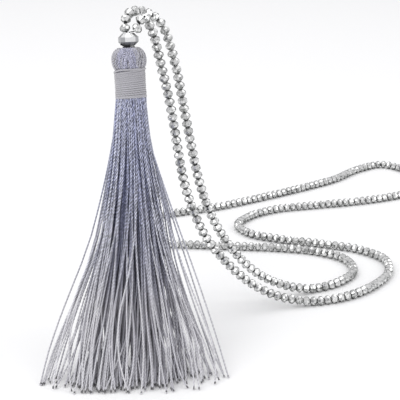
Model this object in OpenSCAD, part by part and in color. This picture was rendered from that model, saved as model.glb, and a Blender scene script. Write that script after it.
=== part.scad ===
// Long necklace of small cut rondelles on a thread, with one larger rondelle over a silky tassel.
// It hangs over a thin support at the origin. Its loop lies on the surface below, where the fringe
// of the tassel also rests. Right is +X, away from the viewer is +Y, and up is +Z.

/* [Hanging] */
// Height of the support above the surface that the loop lies on
hang_height = 126; // [122:1:134]
// How far the large rondelle hangs to the left of the support
stone_left = 5.9; // [5.4:0.1:6.4]
// How far the large rondelle hangs in front of the support
stone_front = 5.2; // [4.8:0.1:6]
// How far the middle of the large rondelle hangs below the support
stone_drop = 5.7; // [5.6:0.1:6.4]
// Forward lean of the tassel's head
head_lean = 12; // [6:1:16]
// Sideways lean of the tassel's head
side_lean = 3; // [0:1:8]

/* [Small rondelles] */
// Diameter of a small rondelle across its corners
bead_d = 4; // [3.4:0.1:4]
// Length of a small rondelle along its hole
bead_t = 3; // [2.4:0.1:3]
// Width across the flat end of a small rondelle
bead_table = 2; // [1.6:0.1:2.2]
// Width of the band round the middle of a small rondelle
bead_girdle = 1; // [0.6:0.1:1.2]
// Sides round a small rondelle
bead_sides = 10; // [8:2:12]
// Hole through a small rondelle
bead_hole = 1.1; // [1:0.05:1.2]
// Thread that shows between two rondelles on a straight run
bead_gap = 0.25; // [0.15:0.05:0.6]
// Least clearance between two rondelles in a bend
bead_clear = 0.1; // [0.1:0.05:0.2]
// Rondelles on the outer string that are cut one by one
outer_count = 126; // [90:1:130]

/* [Large rondelle] */
// Diameter of the large rondelle across its corners
stone_d = 8; // [7:0.1:9]
// Length of the large rondelle along its hole
stone_t = 5; // [4.6:0.1:5.4]
// Width across the flat end of the large rondelle
stone_table = 4.4; // [3.6:0.1:4.8]
// Width of the band round the middle of the large rondelle
stone_girdle = 1.8; // [1.2:0.1:2.2]
// Sides round the large rondelle
stone_sides = 12; // [8:2:14]
// Hole through the large rondelle
stone_hole = 2; // [1.7:0.1:2.4]

/* [Thread] */
// Diameter of the thread that carries the rondelles
thread_d = 0.5; // [0.4:0.05:0.55]
// Width over the turns of thread wound round both strands under the large rondelle
knot_d = 5.2; // [4.6:0.1:5.4]
// Thickness of those turns
knot_h = 0.7; // [0.5:0.05:0.8]
// Clearance where a thread ends against the next piece
seat_gap = 0.1; // [0.1:0.05:0.25]

/* [Tassel head] */
// How far the head hangs to the left of the large rondelle's hole
head_left = 0.3; // [0:0.1:0.6]
// Height of the rounded head
head_h = 7.5; // [6.5:0.1:9]
// Diameter of the head at its widest
head_d = 13.4; // [12.8:0.1:15]
// Bundles of folded thread round the head
head_locks = 20; // [12:1:28]
// Depth of the grooves between the bundles, as a share of the radius
head_groove = 0.06; // [0.02:0.01:0.12]

/* [Binding] */
// Length of the wound neck
bind_h = 11.3; // [9:0.1:15]
// Diameter over the wound turns
bind_d = 12.1; // [11:0.1:12.6]
// Thickness of the winding thread
bind_thread = 0.7; // [0.5:0.05:1]
// Turns round the neck
bind_turns = 15; // [8:1:15]
// Thickness of the wound wall inside the turns
bind_wall = 0.5; // [0.3:0.1:1]
// Tilt of the loose turn at the top
loose_tilt = 5; // [2:1:6]

/* [Skirt] */
// Width of the fan of thread where it rests on the surface
fan_w = 65; // [50:1:80]
// Depth of the fan from front to back where it rests
fan_d = 25; // [18:1:32]
// How far the middle of the fan rests in front of the support
fan_front = 55.5; // [45:0.5:65]
// How far the middle of the fan rests to the left of the support
fan_left = 4.1; // [0:0.1:8]
// Forward lean of the threads where they meet the surface
fan_lean = 38; // [25:1:45]
// How much further back the right end of the fan rests than its middle
fan_slant = 4; // [0:0.5:8]
// Bundles of thread round the skirt
skirt_locks = 24; // [16:1:36]
// Depth of the grooves between the bundles at the ends, as a share of the radius
skirt_groove = 0.1; // [0.05:0.01:0.2]

/* [Hidden] */

// Route of the string that leaves the large rondelle on the left, crosses behind the other and ends in
// the hidden turn behind the tassel: x, y and height above where a rondelle rests on the surface
INNER_ROUTE = [
    [-7.2, -4.2, 122.3], [-7, -3.4, 124.6], [-6.7, -1.4, 126.4], [-5.4, 1.2, 127.4], [-3.2, 3.9, 127.6],
    [-0.6, 6.2, 126.8], [2, 8, 125.4], [4.4, 9.2, 123.6], [6.5, 9.6, 121], [8, 9.4, 118],
    [10.2, 8.6, 111], [12.4, 8.2, 102], [14.2, 8, 92], [16.2, 8.2, 81], [18.2, 8.6, 70],
    [20.6, 9.4, 58], [24, 10.6, 46], [29, 12.4, 34], [36.6, 15, 21.4], [46, 18, 11],
    [58, 21.6, 3.6], [71, 26, 0], [84, 33.6, 0], [91.6, 45, 0], [89, 60, 0],
    [77, 69, 0], [60, 73.4, 0], [38, 75.6, 0], [14, 78, 0], [-4, 79.6, 0],
    [-13, 85, 0], [-17.6, 92, 0], [-18.6, 99.6, 0]
];
// Route of the string that leaves it on the right and runs out round the larger loop to the same turn
OUTER_ROUTE = [
    [-5.1, -4.9, 121.5], [-3.7, -5.3, 121.8], [-2.3, -5.2, 122.9], [-1.6, -4.1, 125.2], [0, -1.5, 126.1],
    [0.9, 1.3, 124.6], [2.1, 2, 121.9], [3.3, 2.8, 118.8], [5, 4.4, 111], [6.8, 4.4, 103],
    [9.2, 4.4, 92], [11.2, 4.6, 80], [13, 4.8, 68], [15.2, 5.2, 56], [18.8, 5.8, 44],
    [24, 6.6, 32], [32, 7.6, 21], [42.4, 9, 10.6], [55, 10.8, 3.2], [70, 12.6, 0],
    [87, 19, 0], [99.6, 30.6, 0], [107.6, 45, 0], [107.6, 60, 0], [98, 71, 0],
    [80, 78.6, 0], [60, 85, 0], [45, 93.4, 0], [40.4, 104, 0], [46, 115, 0],
    [60, 126, 0], [80, 132, 0], [100, 137, 0], [120, 144, 0], [138, 155, 0],
    [145, 170, 0], [141, 187, 0], [126, 200.4, 0], [112, 192, 0], [96, 174, 0],
    [78, 160.4, 0], [55, 145, 0], [32, 131, 0], [8, 120.6, 0], [-8, 113, 0],
    [-16, 107, 0], [-18.6, 99.6, 0]
];

// Heights in the routes that are level with the support, and below which the strings stretch with its height
LEVELS = [124, 118];

// Head, from its foot over its shoulders to the dip under the large rondelle: share of the height, share
// of the radius
HEAD_ROWS = [
    [0, 0.88], [0.12, 0.95], [0.3, 1], [0.5, 1], [0.68, 0.96],
    [0.84, 0.87], [0.96, 0.75], [1.03, 0.62], [1.04, 0.52], [1, 0.42]
];
// Skirt, from the surface up to the neck: share of the way down, shares of the half width and half depth
SKIRT_ROWS = [
    [1, 1, 1], [0.95, 0.96, 0.98], [0.88, 0.9, 0.94], [0.78, 0.796, 0.88], [0.68, 0.684, 0.82],
    [0.58, 0.572, 0.76], [0.48, 0.476, 0.7], [0.36, 0.392, 0.63], [0.24, 0.312, 0.57], [0.14, 0.25, 0.53],
    [0.06, 0.216, 0.5], [0, 0.186, 0.484]
];
// Bundles that stray from the edge: place round the skirt in degrees, extra reach at the surface as a share
STRAYS = [[0, 0.1], [18, 0.05], [171, 0.05], [180, 0.1], [198, 0.04]];

curve_steps = 12;
tube_sides = 8;
tube_step = 7;
crest_count = 10;
down = [sin(side_lean) * cos(head_lean), -sin(head_lean), -cos(side_lean) * cos(head_lean)];
stone_mid = [-stone_left, -stone_front, -stone_drop];
stone_top = stone_mid - down * stone_t / 2;
stone_foot = stone_mid + down * stone_t / 2;
knot_mid = stone_foot + down * (seat_gap + knot_h / 2);
thread_foot = stone_foot + down * (seat_gap + knot_h);
head_top = thread_foot + down * seat_gap - [head_left, 0, 0];
head_foot = head_top + down * head_h;
bind_top = head_foot + down * seat_gap;
skirt_top = bind_top + down * (bind_h + seat_gap);
fan_mid = [-fan_left, -fan_front, -hang_height];
turn_r = bind_thread / 2;
turn_mid_r = bind_d / 2 - turn_r;
sleeve_r = turn_mid_r - turn_r / 2;
bore_r = sleeve_r - bind_wall;
core_r = bore_r - seat_gap;

function unit(v) = v / norm(v);

// Slope of a smooth curve through the points p at point i
function slope(p, i) =
    i == 0 ? unit(p[1] - p[0]) :
    i == len(p) - 1 ? unit(p[i] - p[i - 1]) :
    let (a = p[i] - p[i - 1], b = p[i + 1] - p[i], h = norm(a), k = norm(b))
    (a / h * k + b / k * h) / (h + k);

function blend(a, m, b, n, t) =
    (2 * t ^ 3 - 3 * t ^ 2 + 1) * a + (t ^ 3 - 2 * t ^ 2 + t) * m
    + (3 * t ^ 2 - 2 * t ^ 3) * b + (t ^ 3 - t ^ 2) * n;

function smooth(p) = [
    for (i = [0:len(p) - 2], k = [0:curve_steps - 1])
        let (h = norm(p[i + 1] - p[i]))
        blend(p[i], h * slope(p, i), p[i + 1], h * slope(p, i + 1), k / curve_steps),
    p[len(p) - 1]
];

function lengths(c) = [
    for (i = 0, s = 0; i < len(c); i = i + 1, s = s + (i < len(c) ? norm(c[i] - c[i - 1]) : 0)) s
];

// Place above the support of a route's height: the crest keeps its shape, and what hangs below it stretches
function route_z(h) =
    let (held = LEVELS[1] - LEVELS[0], stretch = (hang_height - bead_d / 2 + held) / LEVELS[1])
    h > LEVELS[1] ? h - LEVELS[0] : held + (h - LEVELS[1]) * stretch;

// A path is three tables, of x, y and z against the length along the curve, and its whole length
function path(route) =
    let (
        c = smooth(concat([stone_top], [for (q = route) [q[0], q[1], route_z(q[2])]])),
        s = lengths(c)
    )
    [for (k = [0:2]) [for (i = [0:len(c) - 1]) [s[i], c[i][k]]], s[len(s) - 1]];

function at(p, s) = [lookup(s, p[0]), lookup(s, p[1]), lookup(s, p[2])];
function heading(p, s) = unit(at(p, min(s + 0.5, p[3])) - at(p, max(s - 0.5, 0)));

// Way to the next rondelle: the straight pitch, or more in a bend so that the inner corners stay clear
function pitch(p, s) =
    let (bend = acos(min(1, heading(p, s) * heading(p, s + bead_t))) * PI / 180 / bead_t)
    max(bead_t + bead_gap, (bead_t + bead_clear) / (1 - bend * bead_table / 2));

// Places of the rondelles along a path, from the place first, up to count of them
function places(p, first, count) = [
    for (s = first, i = 0; i < count && s < p[3] - bead_t / 2; s = s + pitch(p, s), i = i + 1) s
];

inner = path(INNER_ROUTE);
outer = path(OUTER_ROUTE);
inner_at = places(inner, bead_t / 2 + thread_d + 2 * seat_gap, 1000);
outer_at = places(outer, bead_t / 2 + stone_table / 2 + thread_d, outer_count);
back_start = outer_at[len(outer_at) - 1] + bead_t / 2 + bead_gap;
back_end = outer[3] + inner[3] - inner_at[len(inner_at) - 1] - bead_t / 2 - 2 * bead_gap;

// Rings of a tube of radius r along the points p, each kept square to its own stretch
function tube_rings(p, r) =
    let (
        n = len(p),
        t = [for (i = [0:n - 1]) unit(p[min(i + 1, n - 1)] - p[max(i - 1, 0)])],
        side = [
            for (i = 0, u = unit(cross(t[0], [0.3, 1, 0.2])); i < n;
                 i = i + 1, u = i < n ? unit(u - (u * t[i]) * t[i]) : u) u
        ]
    )
    [
        for (i = [0:n - 1], k = [0:tube_sides - 1])
            let (a = k * 360 / tube_sides)
            p[i] + r * (cos(a) * side[i] + sin(a) * cross(t[i], side[i]))
    ];

// Closed skin over rows of n points each
module skin(points, n) {
    rows = len(points) / n;
    polyhedron(
        points,
        concat(
            [[for (k = [0:n - 1]) k]],
            [
                for (i = [0:rows - 2], k = [0:n - 1])
                    let (a = i * n + k, b = i * n + (k + 1) % n)
                    each [[a, a + n, b], [b, a + n, b + n]]
            ],
            [[for (k = [n - 1:-1:0]) (rows - 1) * n + k]]
        )
    );
}

module tube(p, d) {
    skin(tube_rings(p, d / 2), tube_sides);
}

// Drilled stone with a band of flats round its middle, a row of facets on each side and a flat at each end
module rondelle(d, t, table, girdle, sides, hole) {
    across = cos(180 / sides);
    difference() {
        intersection_for(i = [0:sides / 2 - 1])
            rotate([90, 0, i * 360 / sides])
                linear_extrude(2 * d, center = true)
                    polygon(across / 2 * [
                        [d, girdle / across], [table, t / across],
                        [-table, t / across], [-d, girdle / across],
                        [-d, -girdle / across], [-table, -t / across],
                        [table, -t / across], [d, -girdle / across]
                    ]);
        cylinder(h = 2 * t, d = hole, center = true, $fn = 8);
    }
}

module bead(p, s, turn) {
    t = heading(p, s);
    translate(at(p, s))
        rotate([0, acos(t.z), atan2(t.y, t.x)])
            rotate([0, 0, turn])
                rondelle(bead_d, bead_t, bead_table, bead_girdle, bead_sides, bead_hole);
}

module string_of_beads(p, stations) {
    color("silver")
        for (i = [0:len(stations) - 1])
            bead(p, stations[i], i * 137.5);
}

// Points of a thread: both ends of each rondelle over the crest, where it bends most, then each gap
function thread_points(p, stations, shift) =
    concat(
        [thread_foot + shift, stone_top + shift - down * thread_d / 2],
        [
            for (i = [0:len(stations) - 1])
                let (s = stations[i], c = at(p, s), t = heading(p, s))
                each i < crest_count
                    ? [c - t * bead_t / 2, c + t * bead_t / 2]
                    : [at(p, s - (bead_t + bead_gap) / 2)]
        ],
        [at(p, stations[len(stations) - 1] + bead_t / 2 + bead_gap / 2)]
    );

module thread(p, stations, shift) {
    color("black")
        tube(thread_points(p, stations, shift), thread_d);
}

module beads_inner() {
    string_of_beads(inner, inner_at);
}

module beads_outer() {
    string_of_beads(outer, outer_at);
}

module thread_inner() {
    thread(inner, inner_at, [-stone_hole / 5, 0, 0]);
}

module thread_outer() {
    thread(outer, outer_at, [stone_hole / 5, 0, 0]);
}

// Point of the loop at the length s along the outer string, and past its end back up the inner one
function round_loop(s) = s <= outer[3] ? at(outer, s) : at(inner, inner[3] + outer[3] - s);

// The rest of the loop, a plain tube as thick as the rondelles
module string_back() {
    stretch = back_end - back_start;
    steps = ceil(stretch / tube_step);
    color("silver")
        tube([for (i = [0:steps]) round_loop(back_start + stretch * i / steps)], bead_d);
}

// Places a piece on the tassel's axis, which leans, with local -Z along it
module on_axis(place) {
    translate(place)
        rotate([0, acos(down.z) - 180, atan2(down.y, down.x)])
            rotate([0, 0, -atan2(down.y, down.x)])
                children();
}

module large_rondelle() {
    color("gainsboro")
        on_axis(stone_mid)
            rondelle(stone_d, stone_t, stone_table, stone_girdle, stone_sides, stone_hole);
}

// Ring of bundles: three points a bundle, a groove and two shoulders, at radius 1 and at 1 - groove
function lock_ring(locks, groove) =
    let (n = 3 * round(locks))
    [
        for (k = [0:n - 1])
            let (a = (k + 0.5) * 360 / n, r = k % 3 == 0 ? 1 - groove : 1)
            [r * cos(a), r * sin(a), a]
    ];

// Rounded head of folded thread, and its core down inside the binding
module tassel_head() {
    ring = lock_ring(head_locks, head_groove);
    color("lightslategray")
        on_axis(head_foot) {
            skin(
                [
                    for (row = HEAD_ROWS, q = ring)
                        let (r = row[1] * head_d / 2)
                        [q.x * r, q.y * r, row[0] * head_h]
                ],
                len(ring)
            );
            translate([0, 0, -bind_h - seat_gap])
                cylinder(h = bind_h + 2 * seat_gap, r = core_r, $fn = 48);
        }
}

// One turn of thread, of radius r at its middle, round the axis at height z
module turn(r, thread, z) {
    translate([0, 0, z])
        rotate_extrude($fn = 64)
            translate([r, 0])
                circle(thread / 2, $fn = 24);
}

// Sleeve of wound thread with one loose turn that rises across the top
module tassel_binding() {
    step = (bind_h - bind_thread) / (bind_turns - 1);
    color("darkgray")
        on_axis(bind_top)
            difference() {
                union() {
                    translate([0, 0, -bind_h])
                        cylinder(h = bind_h, r = sleeve_r, $fn = 64);
                    for (i = [0:bind_turns - 2])
                        turn(turn_mid_r, bind_thread, -bind_h + turn_r + i * step);
                    translate([0, 0, -turn_r - turn_mid_r * sin(loose_tilt)])
                        rotate([0, -loose_tilt, 0])
                            turn(turn_mid_r, bind_thread, 0);
                }
                translate([0, 0, -bind_h - 1])
                    cylinder(h = bind_h + 2, r = bore_r, $fn = 48);
            }
}

// Two turns of thread side by side, round both strands where they leave the large rondelle
module thread_knot() {
    color("black")
        on_axis(knot_mid) {
            turn((knot_d - knot_h) / 2, knot_h, 0);
            turn(knot_d / 2 - 1.35 * knot_h, knot_h, 0);
        }
}

function skirt_mid(t) =
    let (h = norm(fan_mid - skirt_top))
    blend(skirt_top, h * down, fan_mid, h * [0, -sin(fan_lean), -cos(fan_lean)], t);

// How far a bundle at the angle a strays out
function stray(a) =
    max([0, for (s = STRAYS) s[1] * max(0, 1 - abs((a - s[0] + 540) % 360 - 180) / (240 / skirt_locks))]);

// Long fringe: bundles round one core, from the neck to a fan that rests on the surface
module tassel_skirt() {
    color("slategray")
        skin(
            [
                for (row = SKIRT_ROWS, q = lock_ring(skirt_locks, skirt_groove * row[0] + 0.03))
                    let (
                        t = row[0],
                        lean = head_lean * (1 - t),
                        tilt = side_lean * (1 - t),
                        across = [cos(tilt), 0, sin(tilt)],
                        along = [sin(tilt) * cos(lean), -sin(lean), -cos(tilt) * cos(lean)],
                        reach = 1 + stray(q[2]) * max(0, t - 0.3) / 0.7
                    )
                    skirt_mid(t)
                    + q.x * reach * row[1] * fan_w / 2 * across
                    + q.y * row[2] * fan_d / 2 * cross(across, along)
                    + q.x * fan_slant * t ^ 2 * [0, 1, 0]
            ],
            3 * round(skirt_locks)
        );
}

tassel_head();
tassel_binding();
tassel_skirt();
thread_knot();
large_rondelle();
beads_inner();
beads_outer();
thread_inner();
thread_outer();
string_back();
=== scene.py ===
# %% [markdown]
# # A tassel necklace of cut crystal rondelles
# The necklace is a long loop of small half-silvered crystal rondelles on a dark thread. A larger rondelle
# gathers the loop above a tassel, which has a head of folded cord, a wound neck and a long fringe.
# The solid model gives every place and size. Here each soft piece gets its real threads, and every
# surface gets its finish. We work in millimetres, and turn them into metres when a mesh is made.

import bisect
import math
import random
from collections import namedtuple

import bmesh
import bpy
from mathutils import Matrix, Vector


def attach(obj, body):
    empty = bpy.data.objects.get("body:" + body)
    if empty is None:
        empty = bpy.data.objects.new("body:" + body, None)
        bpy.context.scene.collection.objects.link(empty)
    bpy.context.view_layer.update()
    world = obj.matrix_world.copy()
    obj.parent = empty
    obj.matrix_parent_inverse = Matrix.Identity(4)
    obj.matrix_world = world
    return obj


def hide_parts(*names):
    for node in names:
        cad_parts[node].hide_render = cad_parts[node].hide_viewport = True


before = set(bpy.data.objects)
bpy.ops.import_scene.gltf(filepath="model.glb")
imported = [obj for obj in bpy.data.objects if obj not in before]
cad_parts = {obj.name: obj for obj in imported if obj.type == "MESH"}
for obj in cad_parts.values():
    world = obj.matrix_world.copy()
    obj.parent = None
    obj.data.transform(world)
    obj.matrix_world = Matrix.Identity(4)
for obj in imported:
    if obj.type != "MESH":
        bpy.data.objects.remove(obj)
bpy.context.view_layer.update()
MM = 0.001
print("nodes:", sorted(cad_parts))

# %% [markdown]
# ## Camera
# The necklace hangs over a thin support, and its loop runs away from us along the table. The camera stands
# at the front, a little to the right, and looks down by 20 degrees. A long lens keeps the fringe from
# spreading by perspective alone.

# %% Camera
CAMERA_AT = Vector((21.5, -458.4, 93.8))
LOOKS_DOWN = 20
camera_data = bpy.data.cameras.new("camera")
camera_data.lens = 108
camera_data.sensor_width = 36
camera = bpy.data.objects.new("camera", camera_data)
camera.location = CAMERA_AT * MM
camera.rotation_euler = (math.radians(90 - LOOKS_DOWN), 0, 0)
bpy.context.scene.collection.objects.link(camera)
bpy.context.scene.camera = camera
print("camera at", [round(c, 4) for c in camera.location], "lens", camera_data.lens)

# %% [markdown]
# ## Colours and nodes
# Colours are easiest to pick as sRGB hex values, as in any paint program, but shader sockets want linear
# light. One function turns the first into the second. Another adds a node, sets its values, links its
# inputs and places the stops of a colour ramp, so that each material below reads as a short list.


# %% Helpers for materials
def colour(code):
    parts = [int(code[k:k + 2], 16) / 255 for k in (1, 3, 5)]
    return [c / 12.92 if c <= 0.04045 else ((c + 0.055) / 1.055) ** 2.4 for c in parts] + [1]


def add(material, kind, values=None, links=None, stops=(), **settings):
    node = material.node_tree.nodes.new("ShaderNode" + kind)
    for name, value in settings.items():
        setattr(node, name, value)
    for name, value in (values or {}).items():
        node.inputs[name].default_value = value
    for name, socket in (links or {}).items():
        material.node_tree.links.new(socket, node.inputs[name])
    while stops and len(node.color_ramp.elements) < len(stops):
        node.color_ramp.elements.new(0.5)
    for k, (place, code) in enumerate(stops):
        node.color_ramp.elements[k].position = place
        node.color_ramp.elements[k].color = colour(code)
    return node


def new_material(name):
    material = bpy.data.materials.new(name)
    material.use_nodes = True
    material.node_tree.nodes.clear()
    return material


print("white in linear light:", colour("#FFFFFF"))

# %% [markdown]
# ## Table and light
# The photograph is a bright studio picture on white. A large matt floor stands in for the table. A broad
# softbox from the upper left gives the highlights on the crystal, a weaker one fills in from the right,
# and a third from above keeps the floor even.

# %% Floor and lights
HANG = 126  # height of the support above the table
FLOOR_HALF = 3  # half the side of the floor, in metres
FLOOR_GAP = 0.05  # mm by which the floor lies below the rondelles that rest on it

bpy.context.scene.view_settings.view_transform = "Standard"
floor_z = -HANG
floor_mesh = bmesh.new()
bmesh.ops.create_grid(floor_mesh, x_segments=1, y_segments=1, size=FLOOR_HALF)
bmesh.ops.translate(floor_mesh, verts=floor_mesh.verts, vec=(0, 0, (floor_z - FLOOR_GAP) * MM))
floor_data = bpy.data.meshes.new("floor")
floor_mesh.to_mesh(floor_data)
floor_mesh.free()
floor = bpy.data.objects.new("floor", floor_data)
bpy.context.scene.collection.objects.link(floor)

# Matt white board, which throws back nearly all light and mirrors none
matt_white = new_material("matt_white_board")
board = add(matt_white, "BsdfPrincipled",
            {"Base Color": colour("#FEFEFE"), "Roughness": 0.9, "Specular IOR Level": 0.1})
add(matt_white, "OutputMaterial", links={"Surface": board.outputs["BSDF"]})
floor.data.materials.append(matt_white)

world = bpy.data.worlds.new("studio")
world.use_nodes = True
world.node_tree.nodes["Background"].inputs["Color"].default_value = colour("#F0F0F2")
world.node_tree.nodes["Background"].inputs["Strength"].default_value = 0.73
bpy.context.scene.world = world


# Places and sizes of the lamps are in metres
def softbox(name, place, target, width, height, power):
    lamp = bpy.data.lights.new(name, "AREA")
    lamp.shape = "RECTANGLE"
    lamp.size, lamp.size_y = width, height
    lamp.energy = power
    box = bpy.data.objects.new(name, lamp)
    box.location = place
    box.rotation_euler = (Vector(target) - Vector(place)).to_track_quat("-Z", "Y").to_euler()
    bpy.context.scene.collection.objects.link(box)


softbox("softbox_left", (-0.55, -0.5, 0.55), (0, 0, -0.02), width=0.85, height=0.75, power=3.2)
softbox("softbox_right", (0.75, -0.25, 0.35), (0.02, 0, -0.05), width=0.3, height=0.5, power=0.9)
softbox("softbox_top", (0.05, 0.45, 0.9), (0.03, 0.15, -0.1), width=1.3, height=1.1, power=4.0)

# %% [markdown]
# ## Half-silvered crystal
# The rondelles are machine-cut lead-free crystal glass with a thin silver coat on one half, so they look
# like grey mirror and clear glass at once. Each facet throws back a different part of the room, and that is
# painted: a facet has one direction all over, so a noise that reads the facet's own direction gives every
# facet its own painted reflection, from pale to deep grey. A second noise, over the place, shifts the first
# from one stone to the next. Facets that look up are painted paler and those that look down darker, as if
# lit from above. The seam where two stones nearly touch gets painted shade, and so does the rim of each
# stone, where the facets turn away from us and would mirror what is dark. A polished clear surface lies on
# top.


# %% Crystal material
CRYSTAL_IOR = 1.55
# The darkening at the seam between two stones is painted shade
SEAM_REACH = 0.9  # mm over which a neighbouring stone darkens the seam


def crystal(name, pale, middle, deep, silver, lot_scale, lot_shift, facet_scale):
    glass = new_material(name)
    face = add(glass, "NewGeometry")
    place = add(glass, "TexCoord")
    lot = add(glass, "TexNoise", {"Scale": lot_scale, "Detail": 0.0}, {"Vector": place.outputs["Object"]})
    shift = add(glass, "VectorMath", {1: [lot_shift] * 3}, {0: lot.outputs["Color"]}, operation="MULTIPLY")
    seed = add(glass, "VectorMath", links={0: face.outputs["True Normal"], 1: shift.outputs["Vector"]},
               operation="ADD")
    # Painted reflection: each facet's own direction picks its tone from this noise
    painted_facet_reflection = add(glass, "TexNoise", {"Scale": facet_scale, "Detail": 1.0}, {"Vector": seed.outputs["Vector"]})
    way = add(glass, "SeparateXYZ", links={"Vector": face.outputs["True Normal"]})
    # Painted top light: facets that look up are paler, those that look down darker
    painted_top_light = add(glass, "MapRange", {"From Min": -0.8, "From Max": 0.8, "To Min": -0.12, "To Max": 0.12},
               {"Value": way.outputs["Z"]})
    # Painted reflection of each facet plus the painted top light, as a place on the tint ramp
    depth = add(glass, "Math", links={0: painted_facet_reflection.outputs["Fac"], 1: painted_top_light.outputs["Result"]}, operation="ADD")
    tint = add(glass, "ValToRGB", links={"Fac": depth.outputs["Value"]},
               stops=[(0.34, deep), (0.46, middle), (0.6, pale)])
    # Painted seam shade: ambient occlusion darkens facets within reach of a neighbouring stone
    near = add(glass, "AmbientOcclusion", {"Distance": SEAM_REACH * MM}, samples=6)
    painted_seam_shade = add(glass, "MapRange", {"From Min": 0.3, "From Max": 0.8, "To Min": 0.05, "To Max": 1.0},
               {"Value": near.outputs["AO"]})
    # Painted rim shade: facets seen edge-on are darkened, standing in for the dark they would mirror
    edge_on = add(glass, "LayerWeight", {"Blend": 0.5})
    painted_rim_shade = add(glass, "MapRange", {"From Min": 0.4, "From Max": 0.85, "To Min": 1.0, "To Max": 0.35},
              {"Value": edge_on.outputs["Facing"]})
    # Both painted shades together, multiplied into the painted reflection tint
    painted_shade = add(glass, "Math", links={0: painted_seam_shade.outputs["Result"], 1: painted_rim_shade.outputs["Result"]},
              operation="MULTIPLY")
    crystal_with_painted_light = add(glass, "VectorMath", links={0: tint.outputs["Color"], "Scale": painted_shade.outputs["Value"]},
                 operation="SCALE")
    coat = add(glass, "BsdfPrincipled",
               {"Metallic": silver, "Roughness": 0.1, "IOR": CRYSTAL_IOR, "Coat Weight": 0.35,
                "Coat Roughness": 0.03, "Coat IOR": CRYSTAL_IOR, "Specular Tint": colour("#7C7D7E")},
               {"Base Color": crystal_with_painted_light.outputs["Vector"]})
    add(glass, "OutputMaterial", links={"Surface": coat.outputs["BSDF"]})
    return glass


# Small rondelles: pale grey crystal, polished, with two thirds of its look from the silver. The second
# noise has 180 waves to the metre, or one in 5.6 mm, so that neighbouring stones differ.
small_crystal = crystal("half_silvered_crystal", pale="#EFEFEE", middle="#C7C8C7", deep="#868886",
                        silver=0.65, lot_scale=180.0, lot_shift=3.1, facet_scale=2.6)
# Large rondelle: the same crystal with paler painted reflections, so its facets are nearly white mirrors.
# Its second noise has a wave in 50 mm, so it hardly changes over the one stone.
large_crystal = crystal("pale_painted_reflection_crystal", pale="#FDFDFD", middle="#DEDFE0", deep="#9FA0A3",
                        silver=0.6, lot_scale=20.0, lot_shift=0.6, facet_scale=2.2)
print("crystal materials:", small_crystal.name, large_crystal.name)

# %% [markdown]
# ## Twisted cord
# The tassel is made of two-ply rayon cord: two bundles of fine shiny filament twisted round each other.
# The twist shows as slanting ridges with a dark line between them, where shade falls. Each cord's own UV map
# runs along its length and round it, so a wave on those two coordinates paints that shade into the line
# between the plies. The mesh of a cord turns as the real plies do. Where it doesn't, the wave makes the
# turns. The real twist is nearer 2.2 mm a turn, and 2.8 mm is drawn, because finer ridges than that vanish
# from this far away.
#
# An attribute holds a shade for each cord, because no two take the dye alike, times a painted shade for each
# place in the bundle: deep between the cords the shade is painted in, bluish above and grey below. Rayon
# glitters where single filaments catch the light, and a fine noise over the place paints that glitter. Near
# the table the cords are smooth and grey, so colour, ridges and glitter all change with the height.


# %% Cord material
# Heights between which the look of a cord changes, in mm from the support
COLOUR_LOW, COLOUR_HIGH = -100, -50
GLINT_LOW, GLINT_HIGH = -105, -70
RIDGE_LOW, RIDGE_HIGH = -102, -68
HELD_LOW, HELD_HIGH = -55, -25
GLINTS = 850.0  # to the metre, one in 1.2 mm, far coarser than real filaments, which wouldn't show
FILAMENT_DEPTH = 0.08  # mm by which the filaments stand out


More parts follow.
